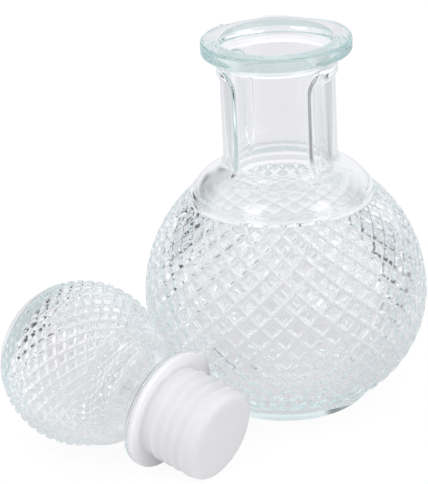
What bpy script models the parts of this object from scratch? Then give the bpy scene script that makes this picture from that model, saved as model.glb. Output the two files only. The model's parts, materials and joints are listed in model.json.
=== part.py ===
# Glass liquor decanter: a ball-shaped bottle pressed all over with diamonds, and its ball stopper,
# which has been taken out and lies on its side on the table beside the bottle.
# Metres, +Z up. The origin is the middle of the bottle's underside; -Y is the side that faces the viewer.

import math

import bmesh
import bpy
from mathutils import Matrix, Vector

# Bottle, outside
BODY_RADIUS = 0.065  # over the points of the diamonds
BODY_CENTRE_HEIGHT = 0.0506
LOWER_ARC_RADIUS = 0.052  # the ball draws in a little faster below its middle
BASE_RADIUS = 0.0362
BASE_EDGE_ROUND = 0.0010
COLLAR_RADIUS = 0.0421  # plain ring where the diamonds stop under the shoulder
COLLAR_HEIGHT = 0.0023
COLLAR_ROUND = 0.0009
SHOULDER_RISE = 0.0203  # from the collar's upper edge to the straight neck
SHOULDER_CREST_RADIUS = 0.0308  # where the dome turns into the hollow sweep of the neck
SHOULDER_CREST_RISE = 0.0117
SHOULDER_FULLNESS = 0.0016  # how far the dome swells past a straight cone
NECK_RADIUS = 0.0258  # over the wide panels
NECK_LENGTH = 0.0398
RIB_COUNT = 4  # upright ribs between the panels
RIB_HEIGHT = 0.0011
RIB_WIDTH = 0.0070
RIB_TURN = math.radians(-53.5)
PANEL_END_FADE = 0.0045  # height over which a panel's recess ends under the lip
LIP_RADIUS = 0.0338
LIP_THICKNESS = 0.0066
LIP_ROUND = 0.0011
LIP_UNDERSIDE = 0.0052  # height of the slope from the neck out to the lip

# Bottle, inside
BODY_WALL = 0.0044
SHOULDER_WALL = 0.0040
FLOOR_THICKNESS = 0.0065
FLOOR_RADIUS = 0.0290
MOUTH_RADIUS = 0.0264  # inner edge of the lip's flat top
MOUTH_BEVEL = 0.0012
MOUTH_FLARE_DEPTH = 0.0110

# Diamonds on the bottle
DIAMONDS_AROUND = 36
DIAMOND_HALF_HEIGHT = 0.00527
DIAMOND_DEPTH = 0.0013
DIAMOND_TOP_ANGLE = math.radians(45.2)  # highest row of crossings, above the ball's middle
DIAMOND_LOW_ANGLE = math.radians(-48.0)  # lowest row, below the middle
DIAMOND_EDGE = 0.0014  # from the lowest row to the plain foot
DIAMOND_TURN = math.radians(-1.0)

# Stopper knob; places along its axis are counted from the ball's centre towards the plug
KNOB_RADIUS = 0.0371
KNOB_WALL = 0.0040
KNOB_DIAMONDS_AROUND = 27
KNOB_DIAMOND_SLOPE = 0.68  # half height over half width of a diamond
KNOB_DIAMOND_DEPTH = 0.0009
KNOB_BAND_LOW = math.radians(-35.0)  # the diamonds lie between these two latitudes
KNOB_BAND_HIGH = math.radians(33.0)
KNOB_TURN = math.radians(12.0)
KNOB_COLLAR_RADIUS = 0.0300
KNOB_COLLAR_HEIGHT = 0.0010
KNOB_COLLAR_ROUND = 0.0006
KNOB_SHOULDER_RISE = 0.0125
KNOB_CREST_RADIUS = 0.0236
KNOB_CREST_RISE = 0.0080
KNOB_SHOULDER_FULLNESS = 0.0016
KNOB_NECK_RADIUS = 0.0200
KNOB_FLANGE_START = 0.0466
KNOB_FLANGE_RADIUS = 0.0272
KNOB_FLANGE_THICKNESS = 0.0024
KNOB_FLANGE_ROUND = 0.0007
KNOB_FLANGE_FILLET = 0.0030
STEM_RADIUS = 0.0184
STEM_LENGTH = 0.0262
STEM_BORE = 0.0150
STEM_END_ROUND = 0.0006

# Soft plastic seal: a ribbed cup pushed over the knob's stem
SEAL_RIBS = 4
SEAL_RIB_RADIUS = 0.0216
SEAL_RIB_PITCH = 0.0053
SEAL_RIB_WIDTH = 0.0032
SEAL_FIRST_RIB = 0.0062  # from the flange's sealing face to the first rib
SEAL_BODY_RADIUS = 0.0209
SEAL_FLANGE_RADIUS = 0.0275
SEAL_FLANGE_THICKNESS = 0.0018
SEAL_FLANGE_ROUND = 0.0006
SEAL_LENGTH = 0.0286  # from the sealing face to the closed end
SEAL_END_ROUND = 0.0024
SEAL_END_WALL = 0.0018

# Clearances
PART_GAP = 0.0003  # between faces that touch
STEM_CLEARANCE = 0.0003
PLUG_CLEARANCE = 0.0003  # ribs of the seal in the bottle's bore
LYING_GAP = 0.0004  # between the lying ball and the bottle

# Where the stopper lies: directions on the table, anticlockwise from +X seen from above
STOPPER_PLACE_TURN = math.radians(204.9)
STOPPER_AXIS_TURN = math.radians(-37.0)

# Facets
BORE_SIDES = DIAMONDS_AROUND
KNOB_BORE_SIDES = KNOB_DIAMONDS_AROUND
SEAL_SIDES = 40
SMOOTH_ANGLE = math.radians(35)
DIAMOND_SMOOTH_ANGLE = math.radians(12)

GLASS_COLOUR = (0.80, 0.86, 0.86, 1.0)
SEAL_COLOUR = (0.83, 0.83, 0.81, 1.0)


def clear_scene():
    for item in list(bpy.data.objects):
        bpy.data.objects.remove(item, do_unlink=True)


def make_material(name, colour, roughness, transmission):
    material = bpy.data.materials.new(name)
    material.use_nodes = True
    shader = material.node_tree.nodes["Principled BSDF"]
    shader.inputs["Base Color"].default_value = colour
    shader.inputs["Roughness"].default_value = roughness
    shader.inputs["Metallic"].default_value = 0.0
    shader.inputs["Transmission Weight"].default_value = transmission
    return material


# Outlines are lists of (radius, height)


def bend(start, corner, end, steps):
    """A smooth curve from start to end that leaves and arrives in line with corner."""
    points = []
    for step in range(steps + 1):
        t = step / steps
        radius = (1 - t) ** 2 * start[0] + 2 * t * (1 - t) * corner[0] + t**2 * end[0]
        height = (1 - t) ** 2 * start[1] + 2 * t * (1 - t) * corner[1] + t**2 * end[1]
        points.append((radius, height))
    return points


def inset_path(points, wall):
    """The same path moved by wall to the left of its direction."""
    moved = []
    for index, (radius, height) in enumerate(points):
        before = points[max(index - 1, 0)]
        after = points[min(index + 1, len(points) - 1)]
        run = Vector((after[0] - before[0], after[1] - before[1])).normalized()
        moved.append((radius - run.y * wall, height + run.x * wall))
    return moved


def shoulder_path(start, crest, fullness, neck_radius, neck_height):
    """A full dome from start to crest, then a hollow sweep that ends upright at the neck."""
    swell = ((start[0] + crest[0]) / 2 + fullness, (start[1] + crest[1]) / 2 + fullness)
    slope = (crest[1] - swell[1]) / (crest[0] - swell[0])
    corner = (neck_radius, crest[1] + slope * (neck_radius - crest[0]))
    dome = bend(start, swell, crest, 3)
    sweep = bend(crest, corner, (neck_radius, neck_height), 4)
    return dome + sweep[1:]


# Shells are rings of corners round +Z, joined one after another


def add_ring(shell, count, outline_at, turn):
    """A ring whose (radius, height) may change with the angle, counted from -Y towards +X."""
    ring = []
    for index in range(count):
        angle = turn + math.tau * index / count
        radius, height = outline_at(angle, index)
        ring.append(shell.verts.new((radius * math.sin(angle), -radius * math.cos(angle), height)))
    return ring


def add_round_ring(shell, count, point, turn=0.0):
    return add_ring(shell, count, lambda angle, index: point, turn)


def join_rings(shell, first, second):
    """Quads between two rings; a second ring with half as many corners takes triangles as well."""
    count = len(first)
    if len(second) == count:
        for index in range(count):
            after = (index + 1) % count
            shell.faces.new((first[index], first[after], second[after], second[index]))
        return
    for index in range(len(second)):
        after = (index + 1) % len(second)
        left, middle, right = (first[(2 * index + step) % count] for step in range(3))
        shell.faces.new((left, middle, second[index]))
        shell.faces.new((middle, right, second[after], second[index]))


def join_diamond_rings(shell, first, second, row):
    """Triangles between two rows of a diamond band, split along the grooves."""
    count = len(first)
    for index in range(count):
        after = (index + 1) % count
        if (index + row) % 2 == 0:
            shell.faces.new((first[index], first[after], second[after]))
            shell.faces.new((first[index], second[after], second[index]))
        else:
            shell.faces.new((first[index], first[after], second[index]))
            shell.faces.new((first[after], second[after], second[index]))


def join_all(shell, rings):
    for first, second in zip(rings, rings[1:]):
        join_rings(shell, first, second)


def close_ring(shell, ring, height):
    """A fan from the ring to a corner on the axis."""
    middle = shell.verts.new((0.0, 0.0, height))
    for index in range(len(ring)):
        shell.faces.new((ring[index], ring[(index + 1) % len(ring)], middle))


def finish_shell(shell, name, material, smooth_angle):
    bmesh.ops.recalc_face_normals(shell, faces=shell.faces)
    mesh = bpy.data.meshes.new(name)
    shell.to_mesh(mesh)
    shell.free()
    mesh.shade_smooth()
    mesh.set_sharp_from_angle(angle=smooth_angle)
    mesh.materials.append(material)
    piece = bpy.data.objects.new(name, mesh)
    bpy.context.collection.objects.link(piece)
    return piece


# Bottle


def body_point(distance, inset):
    """Point of the ball's outline, by distance along it above (+) or below (-) its middle."""
    if distance >= 0:
        angle = distance / BODY_RADIUS
        reach = BODY_RADIUS - inset
        return reach * math.cos(angle), BODY_CENTRE_HEIGHT + reach * math.sin(angle)
    angle = distance / LOWER_ARC_RADIUS
    reach = LOWER_ARC_RADIUS - inset
    arc_centre = BODY_RADIUS - LOWER_ARC_RADIUS
    return arc_centre + reach * math.cos(angle), BODY_CENTRE_HEIGHT + reach * math.sin(angle)


def diamond_rows():
    """Distances of the rows of crossings along the ball's outline, from the top down."""
    top = BODY_RADIUS * DIAMOND_TOP_ANGLE
    low = LOWER_ARC_RADIUS * DIAMOND_LOW_ANGLE
    steps = round((top - low) / DIAMOND_HALF_HEIGHT)
    return [top + (low - top) * step / steps for step in range(steps + 1)]


def collar_foot_height():
    """Where the collar stands on the ball, at the depth of the grooves."""
    return BODY_CENTRE_HEIGHT + math.sqrt((BODY_RADIUS - DIAMOND_DEPTH) ** 2 - COLLAR_RADIUS**2)


def neck_start_height():
    return collar_foot_height() + COLLAR_HEIGHT + SHOULDER_RISE


def neck_end_height():
    return neck_start_height() + NECK_LENGTH


def bottle_height():
    return neck_end_height() + LIP_UNDERSIDE + LIP_THICKNESS


def bore_radius():
    return SEAL_RIB_RADIUS + PLUG_CLEARANCE


def rib_share(angle):
    """1 on a rib's crest, falling to 0 on the panels."""
    spacing = math.tau / RIB_COUNT
    offset = abs((angle - RIB_TURN + spacing / 2) % spacing - spacing / 2)
    half_width = RIB_WIDTH / NECK_RADIUS / 2
    crest = half_width / 3
    return min(max((half_width - offset) / (half_width - crest), 0.0), 1.0)


def bottle_shoulder():
    collar_top = collar_foot_height() + COLLAR_HEIGHT
    start = (COLLAR_RADIUS - COLLAR_ROUND, collar_top + COLLAR_ROUND)
    crest = (SHOULDER_CREST_RADIUS, collar_top + SHOULDER_CREST_RISE)
    return shoulder_path(start, crest, SHOULDER_FULLNESS, NECK_RADIUS, neck_start_height())


def add_diamond_band(shell, rows, point_at, depth, count, turn):
    """Rings of a band: every second corner lies in a groove crossing, the others on a point."""
    rings = []
    for row, place in enumerate(rows):
        levels = (point_at(place, depth), point_at(place, 0.0))
        rings.append(add_ring(shell, count, lambda angle, index: levels[(index + row) % 2], turn))
    return rings


def add_bottle_outside(shell, sides):
    """Rings from the underside up to the mouth; the band is joined here, the last ring is returned."""
    rows = diamond_rows()
    foot_edge = body_point(rows[-1] - DIAMOND_EDGE, DIAMOND_DEPTH)
    foot = [
        add_round_ring(shell, sides, point, DIAMOND_TURN)
        for point in ((BASE_RADIUS - BASE_EDGE_ROUND, 0.0), (BASE_RADIUS, BASE_EDGE_ROUND), foot_edge)
    ]
    close_ring(shell, foot[0], 0.0)
    join_all(shell, foot)

    band = add_diamond_band(shell, rows, body_point, DIAMOND_DEPTH, sides, DIAMOND_TURN)
    collar_foot = add_round_ring(shell, sides, (COLLAR_RADIUS, collar_foot_height()), DIAMOND_TURN)
    join_diamond_rings(shell, band[0], collar_foot, 0)
    for row in range(1, len(band)):
        join_diamond_rings(shell, band[row], band[row - 1], row)
    join_diamond_rings(shell, foot[-1], band[-1], len(band))

    collar_top = collar_foot_height() + COLLAR_HEIGHT
    rings = [collar_foot, add_round_ring(shell, sides, (COLLAR_RADIUS, collar_top), DIAMOND_TURN)]
    crest_height = collar_top + SHOULDER_CREST_RISE

    def ribbed(radius, height):
        """The ribs rise out of the sweep and the panels end under the lip."""
        rise = min(max((height - crest_height) / (neck_start_height() - crest_height), 0.0), 1.0)
        top = min(max((height - neck_end_height()) / PANEL_END_FADE + 1, 0.0), 1.0)

        def outline(angle, index):
            return radius + RIB_HEIGHT * max(rib_share(angle) * rise, top), height

        return add_ring(shell, sides, outline, DIAMOND_TURN)

    rings += [ribbed(radius, height) for radius, height in bottle_shoulder()]
    panel_end = neck_end_height() - PANEL_END_FADE
    for height in ((neck_start_height() + panel_end) / 2, panel_end, neck_end_height()):
        rings.append(ribbed(NECK_RADIUS, height))

    top = bottle_height()
    lip_foot = neck_end_height() + LIP_UNDERSIDE
    lip = (
        (LIP_RADIUS - LIP_ROUND, lip_foot),
        (LIP_RADIUS, lip_foot + LIP_ROUND),
        (LIP_RADIUS, top - LIP_ROUND),
        (LIP_RADIUS - LIP_ROUND, top),
        (MOUTH_RADIUS, top),
    )
    rings += [add_round_ring(shell, sides, point, DIAMOND_TURN) for point in lip]
    join_all(shell, rings)
    return rings[-1]


def bottle_inside():
    """Outline from the mouth down to the floor."""
    top = bottle_height()
    rows = diamond_rows()
    points = [(MOUTH_RADIUS - MOUTH_BEVEL, top - MOUTH_BEVEL), (bore_radius(), top - MOUTH_FLARE_DEPTH)]
    points.append((bore_radius(), neck_start_height()))
    points += inset_path(bottle_shoulder(), SHOULDER_WALL)[-2::-1]
    points += [body_point(place, BODY_WALL) for place in rows[::2]]
    wall_end = body_point(rows[-1], BODY_WALL)
    drop = wall_end[1] - FLOOR_THICKNESS
    corner = (wall_end[0] + drop / math.tan(DIAMOND_LOW_ANGLE), FLOOR_THICKNESS)
    points += bend(wall_end, corner, (FLOOR_RADIUS, FLOOR_THICKNESS), 3)[1:]
    return points


def make_bottle(material):
    shell = bmesh.new()
    mouth = add_bottle_outside(shell, 2 * DIAMONDS_AROUND)
    inside = [add_round_ring(shell, BORE_SIDES, point, DIAMOND_TURN) for point in bottle_inside()]
    join_all(shell, [mouth] + inside)
    close_ring(shell, inside[-1], FLOOR_THICKNESS)
    return finish_shell(shell, "decanter_bottle", material, DIAMOND_SMOOTH_ANGLE)


# Stopper knob


def knob_point(latitude, inset):
    reach = KNOB_RADIUS - inset
    return reach * math.cos(latitude), reach * math.sin(latitude)


def knob_rows():
    """Latitudes of the rows of crossings: the grooves climb at one constant angle."""
    low = math.asinh(math.tan(KNOB_BAND_LOW))
    high = math.asinh(math.tan(KNOB_BAND_HIGH))
    half_width = math.pi / KNOB_DIAMONDS_AROUND
    steps = round((high - low) / (half_width * KNOB_DIAMOND_SLOPE))
    return [math.atan(math.sinh(high + (low - high) * step / steps)) for step in range(steps + 1)]


def knob_collar_foot():
    return math.sqrt(KNOB_RADIUS**2 - KNOB_COLLAR_RADIUS**2)


def knob_neck_start():
    return knob_collar_foot() + KNOB_COLLAR_HEIGHT + KNOB_SHOULDER_RISE


def knob_shoulder():
    collar_top = knob_collar_foot() + KNOB_COLLAR_HEIGHT
    start = (KNOB_COLLAR_RADIUS - KNOB_COLLAR_ROUND, collar_top + KNOB_COLLAR_ROUND)
    crest = (KNOB_CREST_RADIUS, collar_top + KNOB_CREST_RISE)
    return shoulder_path(start, crest, KNOB_SHOULDER_FULLNESS, KNOB_NECK_RADIUS, knob_neck_start())


def flange_end():
    return KNOB_FLANGE_START + KNOB_FLANGE_THICKNESS


def stem_end():
    return flange_end() + STEM_LENGTH


def knob_outside():
    """Outline from the collar to the open end of the stem."""
    points = [
        (KNOB_COLLAR_RADIUS, knob_collar_foot()),
        (KNOB_COLLAR_RADIUS, knob_collar_foot() + KNOB_COLLAR_HEIGHT),
    ]
    points += knob_shoulder()
    points += [
        (KNOB_NECK_RADIUS, KNOB_FLANGE_START - KNOB_FLANGE_FILLET),
        (KNOB_NECK_RADIUS + KNOB_FLANGE_FILLET, KNOB_FLANGE_START),
        (KNOB_FLANGE_RADIUS - KNOB_FLANGE_ROUND, KNOB_FLANGE_START),
        (KNOB_FLANGE_RADIUS, KNOB_FLANGE_START + KNOB_FLANGE_ROUND),
        (KNOB_FLANGE_RADIUS, flange_end() - KNOB_FLANGE_ROUND),
        (KNOB_FLANGE_RADIUS - KNOB_FLANGE_ROUND, flange_end()),
        (STEM_RADIUS, flange_end()),
        (STEM_RADIUS, stem_end() - STEM_END_ROUND),
        (STEM_RADIUS - STEM_END_ROUND, stem_end()),
    ]
    return points


def knob_inside():
    """Outline from the stem's open end into the hollow ball."""
    points = [(STEM_BORE, stem_end()), (STEM_BORE, knob_neck_start())]
    points += inset_path(knob_shoulder(), KNOB_WALL)[-2::-1]
    points += [knob_point(latitude, KNOB_WALL) for latitude in knob_rows()[2::2]]
    return points


def make_knob(material):
    shell = bmesh.new()
    sides = 2 * KNOB_DIAMONDS_AROUND
    rows = knob_rows()
    band = add_diamond_band(shell, rows, knob_point, KNOB_DIAMOND_DEPTH, sides, KNOB_TURN)
    for row in range(1, len(band)):
        join_diamond_rings(shell, band[row], band[row - 1], row)

    outside = [add_round_ring(shell, sides, point, KNOB_TURN) for point in knob_outside()]
    join_diamond_rings(shell, band[0], outside[0], 0)
    join_all(shell, outside)
    inside = [add_round_ring(shell, KNOB_BORE_SIDES, point, KNOB_TURN) for point in knob_inside()]
    join_all(shell, [outside[-1]] + inside)

    # The end of the ball is plain, outside and inside
    cap_edge = add_round_ring(shell, sides, knob_point(KNOB_BAND_LOW * 1.06, 0.0), KNOB_TURN)
    join_diamond_rings(shell, cap_edge, band[-1], len(band))
    cap = [cap_edge]
    inner_cap = [inside[-1]]
    for share in (1 / 3, 2 / 3):
        latitude = KNOB_BAND_LOW - (math.pi / 2 + KNOB_BAND_LOW) * share
        cap.append(add_round_ring(shell, KNOB_BORE_SIDES, knob_point(latitude, 0.0), KNOB_TURN))
        inner_cap.append(add_round_ring(shell, KNOB_BORE_SIDES, knob_point(latitude, KNOB_WALL), KNOB_TURN))
    join_all(shell, cap)
    join_all(shell, inner_cap)
    close_ring(shell, cap[-1], -KNOB_RADIUS)
    close_ring(shell, inner_cap[-1], KNOB_WALL - KNOB_RADIUS)
    return finish_shell(shell, "stopper_knob", material, DIAMOND_SMOOTH_ANGLE)


# Stopper seal


def seal_start():
    return flange_end() + PART_GAP


def sealing_face():
    return seal_start() + SEAL_FLANGE_THICKNESS


def seal_end():
    return sealing_face() + SEAL_LENGTH


def seal_outline():
    """From the middle of the cup's floor, out over the flange and ribs, to the middle of its end."""
    socket = STEM_RADIUS + STEM_CLEARANCE
    points = [
        (0.0, seal_end() - SEAL_END_WALL),
        (socket, seal_end() - SEAL_END_WALL),
        (socket, seal_start()),
        (SEAL_FLANGE_RADIUS - SEAL_FLANGE_ROUND, seal_start()),
        (SEAL_FLANGE_RADIUS, seal_start() + SEAL_FLANGE_ROUND),
        (SEAL_FLANGE_RADIUS, sealing_face() - SEAL_FLANGE_ROUND),
        (SEAL_FLANGE_RADIUS - SEAL_FLANGE_ROUND, sealing_face()),
        (SEAL_BODY_RADIUS, sealing_face()),
    ]
    for rib in range(SEAL_RIBS):
        middle = sealing_face() + SEAL_FIRST_RIB + rib * SEAL_RIB_PITCH
        for side in (-1, 1):
            foot = (SEAL_BODY_RADIUS, middle + side * SEAL_RIB_WIDTH / 2)
            crest = (SEAL_RIB_RADIUS, middle + side * SEAL_RIB_WIDTH / 6)
            points += [foot, crest] if side < 0 else [crest, foot]
    points += bend(
        (SEAL_BODY_RADIUS, seal_end() - SEAL_END_ROUND),
        (SEAL_BODY_RADIUS, seal_end()),
        (SEAL_BODY_RADIUS - SEAL_END_ROUND, seal_end()),
        3,
    )
    points.append((0.0, seal_end()))
    return points


def make_seal(material):
    shell = bmesh.new()
    corners = [shell.verts.new((radius, 0.0, height)) for radius, height in seal_outline()]
    edges = [shell.edges.new(pair) for pair in zip(corners, corners[1:])]
    bmesh.ops.spin(
        shell,
        geom=corners + edges,
        axis=(0.0, 0.0, 1.0),
        cent=(0.0, 0.0, 0.0),
        steps=SEAL_SIDES,
        angle=math.tau,
        use_merge=True,
    )
    bmesh.ops.remove_doubles(shell, verts=shell.verts, dist=1e-6)
    return finish_shell(shell, "stopper_seal", material, SMOOTH_ANGLE)


# Placing the stopper on the table


def lying_tilt():
    """How far the axis dips towards the plug when the ball and the seal's flange rest on the table."""
    reach = math.hypot(sealing_face(), SEAL_FLANGE_RADIUS)
    return math.asin(KNOB_RADIUS / reach) - math.atan2(SEAL_FLANGE_RADIUS, sealing_face())


def stopper_place():
    """The ball's centre: on the table, just clear of the bottle's lower half."""
    drop = BODY_CENTRE_HEIGHT - KNOB_RADIUS
    reach = LOWER_ARC_RADIUS + KNOB_RADIUS + LYING_GAP
    distance = BODY_RADIUS - LOWER_ARC_RADIUS + math.sqrt(reach**2 - drop**2)
    return Vector((
        distance * math.cos(STOPPER_PLACE_TURN),
        distance * math.sin(STOPPER_PLACE_TURN),
        KNOB_RADIUS,
    ))


def place_stopper(pieces):
    """The axis runs through the ball's centre; the pieces keep it as their own +Z."""
    tilt = Matrix.Rotation(math.pi / 2 + lying_tilt(), 4, "Y")
    turn = Matrix.Rotation(STOPPER_AXIS_TURN, 4, "Z")
    axis = bpy.data.objects.new("stopper_axis", None)
    axis.matrix_world = Matrix.Translation(stopper_place()) @ turn @ tilt
    bpy.context.collection.objects.link(axis)
    for piece in pieces:
        piece.parent = axis


def main():
    clear_scene()
    bottle_glass = make_material("bottle_glass", GLASS_COLOUR, 0.02, 1.0)
    knob_glass = make_material("knob_glass", GLASS_COLOUR, 0.02, 1.0)
    seal_plastic = make_material("seal_plastic", SEAL_COLOUR, 0.35, 0.3)
    make_bottle(bottle_glass)
    place_stopper([make_knob(knob_glass), make_seal(seal_plastic)])


main()
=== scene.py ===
import json
import math
import bpy
import numpy as np
from mathutils import Matrix, Vector


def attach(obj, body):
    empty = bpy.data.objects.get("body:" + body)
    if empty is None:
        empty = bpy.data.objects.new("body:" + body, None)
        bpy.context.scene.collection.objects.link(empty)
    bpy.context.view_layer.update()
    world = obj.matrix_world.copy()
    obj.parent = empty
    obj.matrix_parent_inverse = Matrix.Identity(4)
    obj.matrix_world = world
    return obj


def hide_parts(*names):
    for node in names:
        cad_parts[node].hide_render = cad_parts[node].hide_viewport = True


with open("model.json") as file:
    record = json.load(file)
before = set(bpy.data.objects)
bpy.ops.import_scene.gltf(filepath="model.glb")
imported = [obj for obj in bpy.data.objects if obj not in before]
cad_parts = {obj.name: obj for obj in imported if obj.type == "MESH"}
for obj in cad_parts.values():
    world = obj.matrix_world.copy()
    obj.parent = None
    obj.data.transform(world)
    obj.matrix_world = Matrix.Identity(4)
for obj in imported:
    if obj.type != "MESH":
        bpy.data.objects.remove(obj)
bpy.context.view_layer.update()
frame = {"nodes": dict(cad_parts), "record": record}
print("frame loaded:", ", ".join(sorted(frame["nodes"])))

# Camera

photoView = {
    "height": 484,  # pixels of the photograph
    "focalLength": 2200.0,  # pixels
    "distance": 1.0200,  # metres from the middle of the bottle's ball
    "elevation": 24.125,  # degrees, of the camera's place above the ball
    "yaw": -1.975,  # degrees to the right
    "pitch": 22.830,  # degrees down
    "roll": -3.022,  # degrees
    "sensor": 36.0,  # millimetres
}


def makeCamera(view, target):
    elevation, yaw, pitch, roll = (math.radians(view[name]) for name in ("elevation", "yaw", "pitch", "roll"))
    place = target + view["distance"] * Vector((0, -math.cos(elevation), math.sin(elevation)))
    ahead = Vector((math.sin(yaw) * math.cos(pitch), math.cos(yaw) * math.cos(pitch), -math.sin(pitch)))
    level = Vector((math.cos(yaw), -math.sin(yaw), 0))
    upright = level.cross(ahead)
    right = math.cos(roll) * level + math.sin(roll) * upright
    up = math.cos(roll) * upright - math.sin(roll) * level
    lens = bpy.data.cameras.new("photoCamera")
    lens.sensor_fit = "VERTICAL"
    lens.sensor_height = view["sensor"]
    lens.lens = view["sensor"] * view["focalLength"] / view["height"]
    holder = bpy.data.objects.new("photoCamera", lens)
    holder.matrix_world = Matrix.Translation(place) @ Matrix((right, up, -ahead)).transposed().to_4x4()
    bpy.context.collection.objects.link(holder)
    bpy.context.scene.camera = holder


# Nodes


class Socket:
    def __init__(self, sheet, link):
        self.sheet = sheet
        self.link = link

    def other(self, output):
        return Socket(self.sheet, self.link.node.outputs[output])

    def maths(self, operation, first, second):
        return self.sheet.add("ShaderNodeMath", {"operation": operation}, {0: first, 1: second})

    def __add__(self, other):
        return self.maths("ADD", self, other)

    def __radd__(self, other):
        return self.maths("ADD", other, self)

    def __sub__(self, other):
        return self.maths("SUBTRACT", self, other)

    def __rsub__(self, other):
        return self.maths("SUBTRACT", other, self)

    def __mul__(self, other):
        return self.maths("MULTIPLY", self, other)

    def __rmul__(self, other):
        return self.maths("MULTIPLY", other, self)

    def __pow__(self, other):
        return self.maths("POWER", self, other)

    def __rpow__(self, other):
        return self.maths("POWER", other, self)


class NodeSheet:
    def __init__(self, owner):
        owner.use_nodes = True
        self.tree = owner.node_tree
        self.tree.nodes.clear()

    def feed(self, node, name, value):
        if isinstance(value, Socket):
            self.tree.links.new(value.link, node.inputs[name])
        else:
            node.inputs[name].default_value = value

    def add(self, kind, settings=None, inputs=None, output=0):
        node = self.tree.nodes.new(kind)
        for name, value in (settings or {}).items():
            setattr(node, name, value)
        for name, value in (inputs or {}).items():
            self.feed(node, name, value)
        return Socket(self, node.outputs[output]) if node.outputs else node

    def mixColour(self, share, first, second):
        # a Mix node's colours are its inputs 6 and 7 and its output 2
        return self.add("ShaderNodeMix", {"data_type": "RGBA"}, {0: share, 6: first, 7: second}, 2)

    def ease(self, value, low, high):
        return self.add(
            "ShaderNodeMapRange",
            {"interpolation_type": "SMOOTHSTEP"},
            {"Value": value, "From Min": low, "From Max": high},
        )

    def within(self, value, middle, half, soft):
        # 1 up to half away from the middle and 0 beyond, eased across the edge
        away = self.add("ShaderNodeMath", {"operation": "ABSOLUTE"}, {0: value - middle})
        return 1 - self.ease(away, half - soft, half + soft)


# Outlines: points of radius and height, which start and end next to the axis


def bend(start, corner, end, steps):
    t = np.linspace(0, 1, steps + 1)[:, None]
    return (1 - t) ** 2 * np.array(start) + 2 * t * (1 - t) * np.array(corner) + t**2 * np.array(end)


def line(start, end, steps):
    return np.linspace(start, end, steps + 1)


def roundCorner(corner, before, after, radius, steps=4):
    corner = np.array(corner, float)
    inward = np.array(before) - corner
    onward = np.array(after) - corner
    start = corner + inward / np.hypot(*inward) * radius
    end = corner + onward / np.hypot(*onward) * radius
    return bend(start, corner, end, steps)


def joinOutline(*stretches):
    points = [np.atleast_2d(stretches[0])]
    for stretch in stretches[1:]:
        stretch = np.atleast_2d(stretch)
        same = np.allclose(points[-1][-1], stretch[0], atol=1e-7)
        points.append(stretch[1:] if same else stretch)
    return np.concatenate(points)


def insetOutline(points, wall):
    run = np.gradient(points, axis=0)
    run /= np.hypot(run[:, 0], run[:, 1])[:, None]
    return points + wall * np.stack([-run[:, 1], run[:, 0]], 1)


def shoulderSweep(look, foot):
    # the plain shoulder above a collar: a full crest that sweeps up into the neck
    start = np.array([look["collarRadius"] - look["collarRound"], foot + look["collarRound"]])
    crest = np.array([look["crestRadius"], foot + look["crestRise"]])
    swell = (start + crest) / 2 + look["fullness"]
    slope = (crest[1] - swell[1]) / (crest[0] - swell[0])
    corner = (look["neckRadius"], crest[1] + slope * (look["neckRadius"] - crest[0]))
    neck = (look["neckRadius"], foot + look["shoulderRise"])
    return joinOutline(bend(start, swell, crest, 10), bend(crest, corner, neck, look["sweepSteps"]))


# Rings round +Z, joined into closed shells; angles run from the front (-Y) towards +X


def ringAngles(count, turn):
    return turn + np.arange(count) * (2 * math.pi / count)


def placeRing(angles, radius, height):
    heights = np.full(len(angles), height)
    return np.stack([radius * np.sin(angles), -radius * np.cos(angles), heights], 1)


def placeRings(angles, outline):
    return [placeRing(angles, radius, height) for radius, height in outline]


def joinPair(lowerCount, upperCount, lowerStart, upperStart, leaning):
    if upperCount == lowerCount:
        index = np.arange(lowerCount)
        after = (index + 1) % lowerCount
        a, b, c, d = lowerStart + index, lowerStart + after, upperStart + after, upperStart + index
        if leaning is None:
            return [np.stack([a, b, c, d], 1)]
        other = ~leaning
        return [
            np.stack([a, b, d], 1)[leaning],
            np.stack([b, c, d], 1)[leaning],
            np.stack([a, b, c], 1)[other],
            np.stack([a, c, d], 1)[other],
        ]
    # the upper ring has half as many points
    half = np.arange(upperCount)
    left, middle = lowerStart + 2 * half, lowerStart + 2 * half + 1
    right = lowerStart + (2 * half + 2) % lowerCount
    near, far = upperStart + half, upperStart + (half + 1) % upperCount
    return [np.stack([left, middle, near], 1), np.stack([middle, right, far, near], 1)]


def shellMesh(name, rings, startHeight, endHeight, leanings=None):
    counts = [len(points) for points in rings]
    starts = 1 + np.concatenate([[0], np.cumsum(counts)])
    last = int(starts[-1])
    points = np.concatenate([[[0, 0, startHeight]], *rings, [[0, 0, endHeight]]])
    index = np.arange(counts[0])
    faces = [np.stack([0 * index, 1 + (index + 1) % counts[0], 1 + index], 1)]
    for row in range(len(rings) - 1):
        leaning = (leanings or {}).get(row)
        faces += joinPair(counts[row], counts[row + 1], starts[row], starts[row + 1], leaning)
    index = np.arange(counts[-1])
    top = starts[-2]
    faces.append(np.stack([top + index, top + (index + 1) % counts[-1], 0 * index + last], 1))
    mesh = bpy.data.meshes.new(name)
    mesh.from_pydata(points.tolist(), [], [face for group in faces for face in group.tolist()])
    mesh.validate()
    mesh.shade_smooth()
    return mesh


def makePiece(mesh):
    piece = bpy.data.objects.new(mesh.name, mesh)
    bpy.context.collection.objects.link(piece)
    return piece


# Diamonds, nearly flat between their grooves: x counts half widths round the ring, and y counts half heights
# down from the top row of crossings

bandEdge = 0.06  # half heights over which the diamonds run out at the edges of their band
closestRows = 0.03  # half heights; of two rows that are closer, the lower one is left out


def diamondRise(x, y, look):
    along = abs((x + y) % 2 - 1)
    across = abs((x - y) % 2 - 1)
    groove = np.clip(1 - (1 - np.maximum(along, across)) / look["grooveShare"], 0, 1)
    return 1 - groove ** look["grooveBend"]


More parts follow.
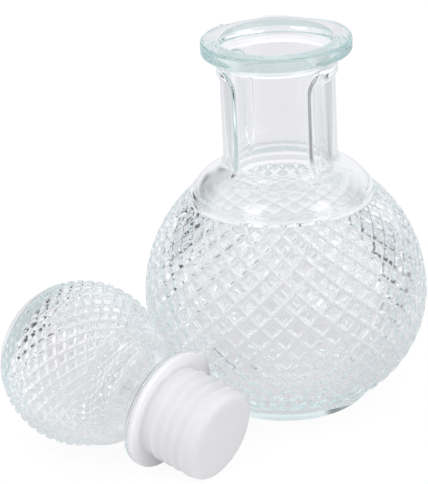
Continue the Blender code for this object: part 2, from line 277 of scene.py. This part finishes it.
def grooveLeaning(x, y):
    # which diagonal of each small face follows the nearest groove
    return (np.floor(x) + np.floor(y)) % 2 == 0


def bandRows(top, bottom, fineness):
    inner = np.arange(math.ceil(top * fineness), math.floor(bottom * fineness) + 1) / fineness
    rows = np.array(sorted([top, top + bandEdge, *inner, bottom - bandEdge, bottom]))
    return rows[np.concatenate([[True], np.diff(rows) > closestRows])][::-1]


def diamondBand(rows, pointAt, angles, look):
    x = np.arange(len(angles)) / look["fineness"]
    rings = []
    leanings = {}
    for index, y in enumerate(rows):
        inside = min(max(min(rows[0] - y, y - rows[-1]) / bandEdge, 0), 1)
        rise = diamondRise(x, y, look) * inside
        radius, height = pointAt(y, look["depth"] * (1 - rise))
        rings.append(placeRing(angles, radius, height))
        if index:
            leanings[index - 1] = grooveLeaning(x + 0.5 / look["fineness"], (y + rows[index - 1]) / 2)
    return rings, leanings


def smoothStep(low, high, value):
    t = np.clip((value - low) / (high - low), 0, 1)
    return t * t * (3 - 2 * t)


# Bottle: sizes in metres, unless a note says otherwise

bottleLook = {
    "ballRadius": 0.0650,
    "ballHeight": 0.0506,
    "lowerArc": 0.0520,  # radius of the ball's outline below its middle
    "innerRing": 0.0040,  # radius of the rings next to the axis, on the underside and the floor
    "baseRadius": 0.0362,
    "footInset": 0.0004,  # from the base's radius in to the foot's lower corner
    "footRound": 0.0014,
    "standInset": 0.0020,  # from the base's radius in to the ring that it stands on
    "hollowFoot": 0.0040,  # and in to the corner and the edge of the hollow
    "hollowEdge": 0.0060,
    "pushUp": 0.0005,  # how far the underside is hollow
    "around": 36,  # diamonds
    "halfHeight": 0.00527,
    "topAngle": 45.2,  # degrees above the ball's middle
    "lowAngle": -48.0,
    "footEdge": 0.0014,  # how far the diamonds run on below their last crossings
    "depth": 0.0013,
    "grooveShare": 0.50,  # of the way from a groove to the middle of a diamond
    "grooveBend": 1.2,
    "fineness": 8,  # points to half a diamond
    "turn": -1.0,  # degrees
    "collarRadius": 0.0421,
    "collarHeight": 0.0023,
    "collarRound": 0.0009,
    "collarStep": 0.0002,  # from the diamonds up to the collar's first ring
    "collarEdge": 0.0005,  # from the collar's last ring up to its top, and on to the corner of its bend
    "collarBend": 0.0010,
    "crestRadius": 0.0308,  # where the shoulder's swell turns up into the neck
    "crestRise": 0.0108,
    "fullness": 0.0016,
    "shoulderRise": 0.0160,
    "sweepSteps": 12,
    "neckRadius": 0.0258,
    "neckLength": 0.0441,
    "neckFine": 0.0120,  # the neck's last stretch, which has closer rings for the arches
    "lipRadius": 0.0338,
    "lipThickness": 0.0066,
    "lipRound": 0.0011,
    "lipTopRound": 0.00154,
    "lipFootRise": 0.0006,
    "underLip": 0.0052,
    "coveOut": 0.0004,  # corner of the curve from the neck out to the lip
    "coveRise": 0.0040,
    "mouthRadius": 0.0264,
    "mouthRound": 0.0012,
    "mouthFlat": 0.00084,  # corner of the mouth's rounding
    "mouthDrop": 0.00192,
    "boreRadius": 0.0219,
    "flareKnee": 0.0088,  # depths below the rim
    "flareEnd": 0.01375,
    "wall": 0.0044,
    "shoulderWall": 0.0040,
    "shoulderTrim": 0.0015,  # below the start of the neck, where the shoulder's inside takes over
    "floor": 0.0065,
    "floorRadius": 0.0290,
}

# Each side of the neck has one raised band, which runs up, over the side panel as an arch, and down again

archLook = {
    "turn": 81.5,  # degrees from the front to the middle of the right side panel
    "halfSpan": 45.0,  # degrees from there to the middle of the band's upright part
    "height": 0.0013,
    "width": 0.0058,
    "edge": 0.0018,
    "tipHeight": 0.1105,  # metres above the table
    "fullHeight": 0.1230,
    "quickRise": 1.6,  # the band reaches its full height so many times sooner than its full width
    "topDrop": 0.0017,  # from the end of the neck down to the middle of the band
    "cornerRound": 0.0078,
}


def bottleLevels(look):
    levels = {"top": math.radians(look["topAngle"]) * look["ballRadius"]}
    low = math.radians(look["lowAngle"]) * look["lowerArc"]
    levels["rows"] = round((levels["top"] - low) / look["halfHeight"])
    levels["step"] = (levels["top"] - low) / levels["rows"]
    foot = math.sqrt((look["ballRadius"] - look["depth"]) ** 2 - look["collarRadius"] ** 2)
    levels["collarFoot"] = look["ballHeight"] + foot
    levels["collarTop"] = levels["collarFoot"] + look["collarHeight"]
    levels["neckStart"] = levels["collarTop"] + look["shoulderRise"]
    levels["neckEnd"] = levels["neckStart"] + look["neckLength"]
    levels["lipFoot"] = levels["neckEnd"] + look["underLip"]
    levels["rim"] = levels["lipFoot"] + look["lipThickness"]
    return levels


bottleHeights = bottleLevels(bottleLook)


def ballPoint(distance, inset):
    # a distance along the ball's outline, up from its middle
    look = bottleLook
    arc = look["ballRadius"] if distance >= 0 else look["lowerArc"]
    angle = distance / arc
    middle = look["ballRadius"] - arc
    reach = arc - inset
    return middle + reach * math.cos(angle), look["ballHeight"] + reach * math.sin(angle)


def archRaise(angles, height, levels):
    arch = archLook
    radius = bottleLook["neckRadius"]
    aside = abs((angles - math.radians(arch["turn"]) + math.pi / 2) % math.pi - math.pi / 2) * radius
    share = min(max((height - arch["tipHeight"]) / (arch["fullHeight"] - arch["tipHeight"]), 0), 1)
    reach = math.radians(arch["halfSpan"]) * radius - arch["cornerRound"]
    sideways = aside - reach
    upwards = height - (levels["neckEnd"] - arch["topDrop"] - arch["cornerRound"])
    corner = np.hypot(np.maximum(sideways, 0), max(upwards, 0))
    away = abs(corner + np.minimum(np.maximum(sideways, upwards), 0) - arch["cornerRound"])
    halfWidth = arch["width"] / 2 * share
    inside = smoothStep(-arch["edge"] / 2, arch["edge"] / 2, halfWidth - away)
    return arch["height"] * inside * min(1, share * arch["quickRise"])


def bottleBase(look, footPoint):
    radius = look["baseRadius"]
    hollow = (radius - look["hollowEdge"], look["pushUp"])
    underside = joinOutline(
        line((look["innerRing"], look["pushUp"]), hollow, 6),
        bend(hollow, (radius - look["hollowFoot"], 0), (radius - look["standInset"], 0), 4),
        roundCorner((radius - look["footInset"], 0), (0, 0), footPoint, look["footRound"]),
    )
    return joinOutline(underside, line(underside[-1], footPoint, 6))[:-1]


def bottleCollar(look, levels):
    radius = look["collarRadius"]
    foot, top = levels["collarFoot"], levels["collarTop"]
    crest = (look["crestRadius"], top + look["crestRise"])
    return joinOutline(
        line((radius, foot + look["collarStep"]), (radius, top - look["collarEdge"]), 3),
        roundCorner((radius, top + look["collarEdge"]), (radius, foot), crest, look["collarBend"]),
    )


def bottleNeck(look, levels):
    radius = look["neckRadius"]
    fineStart = levels["neckEnd"] - look["neckFine"]
    return joinOutline(
        shoulderSweep(look, levels["collarTop"])[1:],
        line((radius, levels["neckStart"]), (radius, fineStart), 10),
        line((radius, fineStart), (radius, levels["neckEnd"]), 16),
    )


def bottleLip(look, levels):
    radius, rim = look["lipRadius"], levels["rim"]
    neckTop = (look["neckRadius"], levels["neckEnd"])
    coveCorner = (look["neckRadius"] + look["coveOut"], levels["neckEnd"] + look["coveRise"])
    cove = bend(neckTop, coveCorner, (radius - look["lipRound"], levels["lipFoot"]), 10)
    foot = (radius, levels["lipFoot"] + look["lipFootRise"])
    return joinOutline(
        cove[1:-1],
        roundCorner(foot, cove[-2], (radius, rim), look["lipRound"], 6),
        roundCorner((radius, rim), (radius, levels["lipFoot"]), (0, rim), look["lipTopRound"], 6),
        line((radius - look["lipTopRound"], rim), (look["mouthRadius"], rim), 3),
    )


def bottleInside(look, levels):
    rim = levels["rim"]
    mouth = (look["mouthRadius"], rim)
    below = (look["mouthRadius"] - look["mouthRound"], rim - look["mouthDrop"])
    knee = (look["boreRadius"], rim - look["flareKnee"])
    bore = (look["boreRadius"], rim - look["flareEnd"])
    shoulder = insetOutline(shoulderSweep(look, levels["collarTop"]), look["shoulderWall"])[::-1]
    places = np.linspace(levels["top"], levels["top"] - levels["rows"] * levels["step"], 48)
    ball = np.array([ballPoint(place, look["wall"]) for place in places])
    slant = math.tan(math.radians(look["lowAngle"]))
    corner = (ball[-1][0] + (ball[-1][1] - look["floor"]) / slant, look["floor"])
    floorEdge = (look["floorRadius"], look["floor"])
    return joinOutline(
        bend(mouth, (look["mouthRadius"] - look["mouthFlat"], rim), below, 4),
        bend(below, knee, bore, 10),
        line(bore, (look["boreRadius"], levels["neckStart"]), 12),
        shoulder[shoulder[:, 1] < levels["neckStart"] - look["shoulderTrim"]],
        ball,
        bend(ball[-1], corner, floorEdge, 12),
        line(floorEdge, (look["innerRing"], look["floor"]), 8),
    )


def makeBottle():
    look = bottleLook
    levels = bottleHeights
    turn = math.radians(look["turn"])
    count = 2 * look["around"] * look["fineness"]
    angles = ringAngles(count, turn)

    collarRise = levels["collarFoot"] - look["ballHeight"]
    collarPlace = math.asin(collarRise / (look["ballRadius"] - look["depth"])) * look["ballRadius"]
    topRow = (levels["top"] - collarPlace) / levels["step"]
    bottomRow = levels["rows"] + look["footEdge"] / levels["step"]
    rows = bandRows(topRow, bottomRow, look["fineness"])

    def pointAt(y, inset):
        return ballPoint(levels["top"] - y * levels["step"], inset)

    bandRings, leanings = diamondBand(rows, pointAt, angles, look)
    rings = placeRings(angles, bottleBase(look, pointAt(rows[0], look["depth"])))
    leanings = {row + len(rings): leaning for row, leaning in leanings.items()}
    rings += bandRings
    rings += placeRings(angles, bottleCollar(look, levels))
    for radius, height in bottleNeck(look, levels):
        rings.append(placeRing(angles, radius + archRaise(angles, height, levels), height))
    for radius, height in bottleLip(look, levels):
        raised = look["neckRadius"] + archRaise(angles, height, levels)
        rings.append(placeRing(angles, np.maximum(radius, raised), height))
    rings += placeRings(ringAngles(count // 2, turn), bottleInside(look, levels)[1:])
    return makePiece(shellMesh("decanterBottle", rings, look["pushUp"], look["floor"], leanings))


# Stopper: sizes along its axis are counted from the ball's centre towards the plug

knobLook = {
    "ballRadius": 0.0371,
    "wall": 0.0040,
    "around": 27,  # diamonds
    "slope": 0.68,  # half height over half width of a diamond
    "depth": 0.0011,
    "grooveShare": 0.55,
    "grooveBend": 1.2,
    "fineness": 7,
    "turn": 12.0,  # degrees
    "bandHigh": 33.0,  # latitudes in degrees
    "bandLow": -35.0,
    "bandEnd": -37.1,
    "capEnd": -88.0,  # the smallest rings of the plain cap, outside and inside
    "hollowTop": 38.0,  # where the ball's inside meets the shoulder's
    "capGap": 0.02,  # radians between the plain cap and the diamonds
    "collarRadius": 0.0300,
    "collarHeight": 0.0010,
    "collarRound": 0.0006,
    "collarStep": 0.0002,
    "shoulderRise": 0.0125,
    "sweepSteps": 10,
    "crestRadius": 0.0236,
    "crestRise": 0.0080,
    "fullness": 0.0016,
    "neckRadius": 0.0200,
    "flangeStart": 0.0466,
    "flangeRadius": 0.0272,
    "flangeThickness": 0.0014,
    "flangeRound": 0.00065,
    "fillet": 0.0030,
    "stemRadius": 0.0184,
    "stemLength": 0.0262,
    "stemBore": 0.0150,
    "stemRound": 0.0012,
    "boreRound": 0.0012,  # from the stem's bore out to where the shoulder's inside takes over
    "boreRise": 0.0010,
}

sealLook = {
    "gap": 0.0003,  # to the stem and to the glass flange
    "seatRise": 0.0240,  # from the stopper's axis to the mount point on its seat
    "flangeRadius": 0.0275,
    "flangeThickness": 0.0028,
    "flangeRound": 0.0006,
    "bodyRadius": 0.0211,
    "rootRound": 0.0012,
    "ribs": 4,
    "ribRadius": 0.0215,
    "ribPitch": 0.0053,
    "ribWidth": 0.0044,
    "firstRib": 0.0062,
    "bodySteps": 89,
    "length": 0.0286,
    "endRound": 0.0042,
    "endWall": 0.0018,
    "socketRound": 0.0010,
    "innerRing": 0.0020,  # radius of the rings next to the axis
    "sides": 128,
}

flangeEnd = knobLook["flangeStart"] + knobLook["flangeThickness"]
sealStart = flangeEnd + sealLook["gap"]
sealFace = sealStart + sealLook["flangeThickness"]


def stopperPlace():
    seat = [mount for mount in frame["record"]["mounts"] if mount["name"] == "stopper_seat"][0]
    axis = Vector(seat["axis"]).normalized()
    upward = (Vector((0, 0, 1)) - axis.z * axis).normalized()
    centre = Vector(seat["pos_m"]) - sealFace * axis - sealLook["seatRise"] * upward
    turn = Matrix.Rotation(math.atan2(axis.y, axis.x), 4, "Z")
    tilt = Matrix.Rotation(math.acos(axis.z), 4, "Y")
    return Matrix.Translation(centre) @ turn @ tilt


def knobPoint(latitude, inset):
    reach = knobLook["ballRadius"] - inset
    return reach * math.cos(latitude), reach * math.sin(latitude)


def stretched(latitude):
    # diamonds keep their slope when their rows are evenly spaced on this scale
    return math.asinh(math.tan(latitude))


def knobOutside(look, collarFoot, shoulder):
    collarTop = collarFoot + look["collarHeight"]
    neck, flange = look["neckRadius"], look["flangeRadius"]
    stem, bore = look["stemRadius"], look["stemBore"]
    flangeStart, flangeRound, stemRound = look["flangeStart"], look["flangeRound"], look["stemRound"]
    filletStart = (neck, flangeStart - look["fillet"])
    filletEnd = (neck + look["fillet"], flangeStart)
    stemEnd = flangeEnd + look["stemLength"]
    return joinOutline(
        line((look["collarRadius"], collarFoot + look["collarStep"]), (look["collarRadius"], collarTop), 2),
        shoulder,
        line((neck, collarTop + look["shoulderRise"]), filletStart, 4),
        bend(filletStart, (neck, flangeStart), filletEnd, 6),
        roundCorner((flange, flangeStart), (0, flangeStart), (flange, flangeEnd), flangeRound, 5),
        roundCorner((flange, flangeEnd), (flange, 0), (0, flangeEnd), flangeRound, 5),
        line((flange - flangeRound, flangeEnd), (stem, flangeEnd), 3),
        line((stem, flangeEnd), (stem, stemEnd - stemRound), 8),
        roundCorner((stem, stemEnd), (stem, 0), (0, stemEnd), stemRound),
        roundCorner((bore, stemEnd), (stem, stemEnd), (bore, 0), stemRound),
    )


def knobInside(look, collarFoot, shoulder):
    neckStart = collarFoot + look["collarHeight"] + look["shoulderRise"]
    stemEnd = flangeEnd + look["stemLength"]
    wall = insetOutline(shoulder, look["wall"])[::-1]
    latitudes = np.linspace(math.radians(look["hollowTop"]), math.radians(look["capEnd"]), 48)
    bore = look["stemBore"]
    return joinOutline(
        line((bore, stemEnd - look["stemRound"]), (bore, neckStart + look["boreRise"]), 10),
        wall[wall[:, 0] > bore + look["boreRound"]],
        [knobPoint(latitude, look["wall"]) for latitude in latitudes],
    )


def makeKnob():
    look = knobLook
    turn = math.radians(look["turn"])
    count = 2 * look["around"] * look["fineness"]
    angles = ringAngles(count, turn)

    high = stretched(math.radians(look["bandHigh"]))
    low = stretched(math.radians(look["bandLow"]))
    step = (high - low) / round((high - low) / (math.pi / look["around"] * look["slope"]))
    collarFoot = math.sqrt(look["ballRadius"] ** 2 - look["collarRadius"] ** 2)
    topRow = (high - stretched(math.asin(collarFoot / look["ballRadius"]))) / step
    bandEnd = math.radians(look["bandEnd"])
    rows = bandRows(topRow, (high - stretched(bandEnd)) / step, look["fineness"])

    def pointAt(y, inset):
        return knobPoint(math.atan(math.sinh(high - y * step)), inset)

    bandRings, leanings = diamondBand(rows, pointAt, angles, look)
    latitudes = np.linspace(math.radians(look["capEnd"]), bandEnd - look["capGap"], 24)
    rings = placeRings(angles, [knobPoint(latitude, 0) for latitude in latitudes])
    leanings = {row + len(rings): leaning for row, leaning in leanings.items()}
    rings += bandRings
    shoulder = shoulderSweep(look, collarFoot + look["collarHeight"])
    rings += placeRings(angles, knobOutside(look, collarFoot, shoulder))
    rings += placeRings(ringAngles(count // 2, turn), knobInside(look, collarFoot, shoulder)[1:])
    mesh = shellMesh("stopperKnob", rings, -look["ballRadius"], look["wall"] - look["ballRadius"], leanings)
    mesh.transform(stopperPlace())
    return makePiece(mesh)


def sealRibs(look, start, end):
    height = np.linspace(start, end, look["bodySteps"] + 1)
    swell = 0 * height
    for rib in range(look["ribs"]):
        aside = abs(height - (sealFace + look["firstRib"] + rib * look["ribPitch"])) / (look["ribWidth"] / 2)
        swell += (look["ribRadius"] - look["bodyRadius"]) * (1 + np.cos(math.pi * np.clip(aside, 0, 1))) / 2
    return np.stack([look["bodyRadius"] + swell, height], 1)


def makeSeal():
    look = sealLook
    end = sealFace + look["length"]
    cupEnd = end - look["endWall"]
    socket = knobLook["stemRadius"] + look["gap"]
    flange, flangeRound, body = look["flangeRadius"], look["flangeRound"], look["bodyRadius"]
    outline = joinOutline(
        line((look["innerRing"], cupEnd), (socket - look["socketRound"], cupEnd), 4),
        roundCorner((socket, cupEnd), (0, cupEnd), (socket, sealStart), look["socketRound"], 3),
        line((socket, cupEnd - look["socketRound"]), (socket, sealStart), 6),
        roundCorner((flange, sealStart), (0, sealStart), (flange, sealFace), flangeRound),
        roundCorner((flange, sealFace), (flange, sealStart), (0, sealFace), flangeRound),
        roundCorner((body, sealFace), (flange, sealFace), (body, end), look["rootRound"], 5),
        sealRibs(look, sealFace + look["rootRound"], end - look["endRound"]),
        roundCorner((body, end), (body, sealFace), (0, end), look["endRound"], 8),
        line((body - look["endRound"], end), (look["innerRing"], end), 5),
    )
    mesh = shellMesh("stopperSeal", placeRings(ringAngles(look["sides"], 0), outline), cupEnd, end)
    mesh.transform(stopperPlace())
    return makePiece(mesh)


# Finishes

glassFinish = {
    "colour": (1.0, 1.0, 1.0, 1.0),
    "thickColour": (0.60, 0.76, 0.735, 1.0),  # of the thick glass seen through the side of the bottle's lip
    "thickStart": 0.0014,  # metres in from the lip's edge, where this colour starts and where it is full
    "thickFull": 0.0004,
    "thickSoft": 0.0010,
    "shoulderRoughness": 0.08,  # blurs what shows through the shoulder a little
    "shoulderSoft": 0.0010,
    "ior": 1.5,
    "tint": (0.67, 0.93, 0.93, 1.0),
    "tintDensity": 6.3,  # per metre
    "waveScale": 90.0,  # of the slow waves that pressing leaves in the faces
    "waveDetail": 2.0,
    "waveDepth": 0.0004,
    "waveStrength": 0.10,
}

sealFinish = {
    "colour": (0.97, 0.97, 0.965, 1.0),
    "cloudScale": 60.0,
    "cloudDetail": 3.0,
    "cloudLift": 1.04,  # how much paler the palest clouds in the plastic are
    "roughness": 0.22,
    "ior": 1.45,
    "scatter": 1.0,
    "scatterRadius": (0.12, 0.12, 0.12),  # times the shader's own scale of 0.05 metres
}


def glassMaterial(name, finish, look, levels):
    # one glass for both pieces: the lip's colour and the shoulder's blur lie where only the bottle is
    material = bpy.data.materials.new(name)
    sheet = NodeSheet(material)
    place = sheet.add("ShaderNodeTexCoord", output="Object")
    across = sheet.add("ShaderNodeSeparateXYZ", {}, {"Vector": place})
    along, height = across.other("Y"), across.other("Z")
    radius = (across * across + along * along) ** 0.5
    edge, foot = look["lipRadius"], levels["lipFoot"]
    atEdge = sheet.ease(radius, edge - finish["thickStart"], edge - finish["thickFull"])
    aboveFoot = sheet.ease(height, foot - finish["thickSoft"], foot + finish["thickSoft"])
    colour = sheet.mixColour(atEdge * aboveFoot, finish["colour"], finish["thickColour"])
    shoulderFoot, shoulderTop = levels["collarTop"], levels["neckStart"]
    middle, half = (shoulderFoot + shoulderTop) / 2, (shoulderTop - shoulderFoot) / 2
    onShoulder = sheet.within(height, middle, half, finish["shoulderSoft"])
    waves = sheet.add(
        "ShaderNodeTexNoise",
        {},
        {"Vector": place, "Scale": finish["waveScale"], "Detail": finish["waveDetail"]},
    )
    bump = sheet.add(
        "ShaderNodeBump",
        {},
        {"Height": waves, "Strength": finish["waveStrength"], "Distance": finish["waveDepth"]},
    )
    surface = sheet.add(
        "ShaderNodeBsdfPrincipled",
        {},
        {
            "Base Color": colour,
            "Roughness": onShoulder * finish["shoulderRoughness"],
            "IOR": finish["ior"],
            "Transmission Weight": 1.0,
            "Normal": bump,
        },
    )
    depth = sheet.add(
        "ShaderNodeVolumeAbsorption", {}, {"Color": finish["tint"], "Density": finish["tintDensity"]}
    )
    sheet.add("ShaderNodeOutputMaterial", {}, {"Surface": surface, "Volume": depth})
    return material


def sealMaterial(name, finish):
    material = bpy.data.materials.new(name)
    sheet = NodeSheet(material)
    place = sheet.add("ShaderNodeTexCoord", output="Object")
    cloud = sheet.add(
        "ShaderNodeTexNoise",
        {},
        {"Vector": place, "Scale": finish["cloudScale"], "Detail": finish["cloudDetail"]},
    )
    paler = [min(value * finish["cloudLift"], 1) for value in finish["colour"]]
    surface = sheet.add(
        "ShaderNodeBsdfPrincipled",
        {},
        {
            "Base Color": sheet.mixColour(cloud, finish["colour"], paler),
            "Roughness": finish["roughness"],
            "IOR": finish["ior"],
            "Subsurface Weight": finish["scatter"],
            "Subsurface Radius": finish["scatterRadius"],
        },
    )
    sheet.add("ShaderNodeOutputMaterial", {}, {"Surface": surface})
    return material


# Table: the camera sees plain white with the object's shadow, and the glass shows a greyer glowing table with
# painted light and shade

tableLook = {
    "size": 3.0,
    "drop": 0.0002,
    "colour": (0.78, 0.775, 0.79, 1.0),
    "seenShare": 0.85,  # share of plain white in what the camera sees
    "glassShare": 0.80,  # share of the glow in what shows through the glass and in it
    "white": (1.08, 1.08, 1.08, 1.0),
    # painted light: the table glows in what shows through the glass and in it
    "glow": (1.05, 1.04, 1.07, 1.0),
}

# Painted light and shade on the table's glow, as it shows in the glass: middle and half size in metres

tableParts = {
    # painted shade on the table behind the bottle, on the left
    "behindLeftShade": {
        "x": -0.33, "y": 0.50, "wide": 0.13, "deep": 0.33, "soft": 0.04, "level": (0.66, 0.66, 0.68, 1.0),
    },
    # painted shade on the table behind the bottle, on the right
    "behindRightShade": {
        "x": 0.33, "y": 0.50, "wide": 0.13, "deep": 0.33, "soft": 0.04, "level": (0.66, 0.66, 0.68, 1.0),
    },
    # painted shade on the table behind the neck
    "neckBackShade": {
        "x": 0.0, "y": 0.41, "wide": 0.16, "deep": 0.25, "soft": 0.05, "level": (0.81, 0.80, 0.83, 1.0),
    },
    # painted shadow of the bottle on the table round its foot
    "bottleShade": {
        "x": -0.02, "y": 0.04, "wide": 0.14, "deep": 0.12, "soft": 0.05, "level": (0.67, 0.66, 0.68, 1.0),
    },
    # painted shade on the table in front
    "front": {
        "x": 0.02, "y": -0.34, "wide": 0.26, "deep": 0.16, "soft": 0.10, "level": (0.80, 0.80, 0.82, 1.0),
    },
    # painted pool of light on the table to the front right
    "rightGlow": {
        "x": 0.60, "y": -0.34, "wide": 0.20, "deep": 0.16, "soft": 0.10, "level": (1.40, 1.40, 1.43, 1.0),
    },
    # painted shade on the table to the right, standing for a flag's shadow
    "rightShade": {
        "x": 0.32, "y": 0.06, "wide": 0.14, "deep": 0.14, "soft": 0.06, "level": (0.33, 0.33, 0.35, 1.0),
    },
}


def makeTable(look, parts):
    half = look["size"] / 2
    level = -look["drop"]
    corners = [(-half, -half, level), (half, -half, level), (half, half, level), (-half, half, level)]
    mesh = bpy.data.meshes.new("paleTable")
    mesh.from_pydata(corners, [], [(0, 1, 2, 3)])
    material = bpy.data.materials.new("paleTable")
    sheet = NodeSheet(material)
    place = sheet.add("ShaderNodeTexCoord", output="Object")
    across = sheet.add("ShaderNodeSeparateXYZ", {}, {"Vector": place})
    glow = look["glow"]
    # each part paints its light or shade into the glow
    for part in parts.values():
        inWidth = sheet.within(across, part["x"], part["wide"], part["soft"])
        inDepth = sheet.within(across.other("Y"), part["y"], part["deep"], part["soft"])
        glow = sheet.mixColour(inWidth * inDepth, glow, part["level"])
    seen = sheet.add("ShaderNodeLightPath")
    inGlass = seen.other("Is Glossy Ray") + seen.other("Is Transmission Ray")
    matt = sheet.add("ShaderNodeBsdfDiffuse", {}, {"Color": look["colour"]})
    light = sheet.add("ShaderNodeEmission", {}, {"Color": sheet.mixColour(seen, glow, look["white"])})
    share = seen * look["seenShare"] + inGlass * look["glassShare"]
    mixed = sheet.add("ShaderNodeMixShader", {}, {0: share, 1: matt, 2: light})
    sheet.add("ShaderNodeOutputMaterial", {}, {"Surface": mixed})
    mesh.materials.append(material)
    makePiece(mesh)


# Pale surroundings with cards and dark flags: angles are degrees from the front towards the right

studioLook = {
    "back": (0.96, 0.95, 0.98, 1.0),
    "front": (0.89, 0.88, 0.91, 1.0),
    "frontSpan": (-0.2, 0.6),
    "above": (0.81, 0.80, 0.83, 1.0),
    "aboveSpan": (0.7, 0.9),
    "white": (1.0, 1.0, 1.0, 1.0),  # what the camera sees past the table's edge
}

studioCards = {
    "frontCard": {
        "angle": 10, "elevation": 0, "wide": 40, "high": 7, "soft": 4, "level": (1.05, 1.05, 1.08, 1.0),
    },
    "rightCard": {
        "angle": 58, "elevation": 13, "wide": 36, "high": 14, "soft": 5, "level": (1.80, 1.80, 1.83, 1.0),
    },
    "leftCard": {
        "angle": -48, "elevation": 8, "wide": 26, "high": 9, "soft": 5, "level": (1.25, 1.25, 1.28, 1.0),
    },
    "rightFlag": {
        "angle": 113, "elevation": 12, "wide": 15, "high": 22, "soft": 3, "level": (0.16, 0.16, 0.17, 1.0),
    },
    "leftFlag": {
        "angle": -135, "elevation": 18, "wide": 24, "high": 14, "soft": 4, "level": (0.06, 0.06, 0.07, 1.0),
    },
}


def makeWorld(look, cards):
    world = bpy.data.worlds.new("studio")
    bpy.context.scene.world = world
    sheet = NodeSheet(world)
    direction = sheet.add("ShaderNodeTexCoord", output="Generated")
    rightward = sheet.add("ShaderNodeSeparateXYZ", {}, {"Vector": direction})
    forward, height = 0 - rightward.other("Y"), rightward.other("Z")
    colour = sheet.mixColour(sheet.ease(forward, *look["frontSpan"]), look["back"], look["front"])
    colour = sheet.mixColour(sheet.ease(height, *look["aboveSpan"]), colour, look["above"])
    azimuth = sheet.add("ShaderNodeMath", {"operation": "ARCTAN2"}, {0: rightward, 1: forward})
    elevation = sheet.add("ShaderNodeMath", {"operation": "ARCSINE"}, {0: height})
    for card in cards.values():
        angle, middle, wide, high, soft = (
            math.radians(card[name]) for name in ("angle", "elevation", "wide", "high", "soft")
        )
        turned = sheet.add(
            "ShaderNodeMath", {"operation": "WRAP"}, {0: azimuth - angle, 1: math.pi, 2: -math.pi}
        )
        shape = sheet.within(turned, 0, wide, soft) * sheet.within(elevation, middle, high, soft)
        colour = sheet.mixColour(shape, colour, card["level"])
    seen = sheet.add("ShaderNodeLightPath")
    light = sheet.add("ShaderNodeBackground", {}, {"Color": sheet.mixColour(seen, colour, look["white"])})
    sheet.add("ShaderNodeOutputWorld", {}, {"Surface": light})


# Softboxes: metres, and degrees from the front towards the right

softboxes = {
    "leftSoftbox": {
        "angle": -48, "elevation": 54, "distance": 1.2, "width": 0.36, "height": 0.42, "brightness": 2.6,
    },
    "rightSoftbox": {
        "angle": 64, "elevation": 48, "distance": 1.2, "width": 0.36, "height": 0.40, "brightness": 2.6,
    },
}


def makeSoftbox(name, look, target):
    angle, elevation = math.radians(look["angle"]), math.radians(look["elevation"])
    direction = Vector((
        math.sin(angle) * math.cos(elevation), -math.cos(angle) * math.cos(elevation), math.sin(elevation)
    ))
    lamp = bpy.data.lights.new(name, "AREA")
    lamp.shape = "RECTANGLE"
    lamp.size = look["width"]
    lamp.size_y = look["height"]
    lamp.energy = look["brightness"] * math.pi * look["width"] * look["height"]
    box = bpy.data.objects.new(name, lamp)
    box.location = target + look["distance"] * direction
    box.rotation_euler = direction.to_track_quat("Z", "Y").to_euler()
    bpy.context.collection.objects.link(box)


# Scene: light crosses many faces of glass, so it may bounce more often than usual

bounces = {"all": 32, "glossy": 24, "transmission": 24}

scene = bpy.context.scene
scene.view_settings.view_transform = "Standard"
scene.cycles.max_bounces = bounces["all"]
scene.cycles.glossy_bounces = bounces["glossy"]
scene.cycles.transmission_bounces = bounces["transmission"]
ballCentre = Vector((0, 0, bottleLook["ballHeight"]))
makeCamera(photoView, ballCentre)
makeTable(tableLook, tableParts)
makeWorld(studioLook, studioCards)
for boxName, boxLook in softboxes.items():
    makeSoftbox(boxName, boxLook, ballCentre)
print("camera, table and light ready")

bottleGlass = glassMaterial("bottleGlass", glassFinish, bottleLook, bottleHeights)
knobGlass = glassMaterial("knobGlass", glassFinish, bottleLook, bottleHeights)
sealPlastic = sealMaterial("sealPlastic", sealFinish)

bottle = makeBottle()
bottle.data.materials.append(bottleGlass)
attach(bottle, "bottle")
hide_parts("decanter_bottle")
print("bottle made:", len(bottle.data.polygons), "faces")

knob = makeKnob()
knob.data.materials.append(knobGlass)
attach(knob, "knob")
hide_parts("stopper_knob")
print("knob made:", len(knob.data.polygons), "faces")

seal = makeSeal()
seal.data.materials.append(sealPlastic)
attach(seal, "seal")
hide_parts("stopper_seal")
print("seal made:", len(seal.data.polygons), "faces")
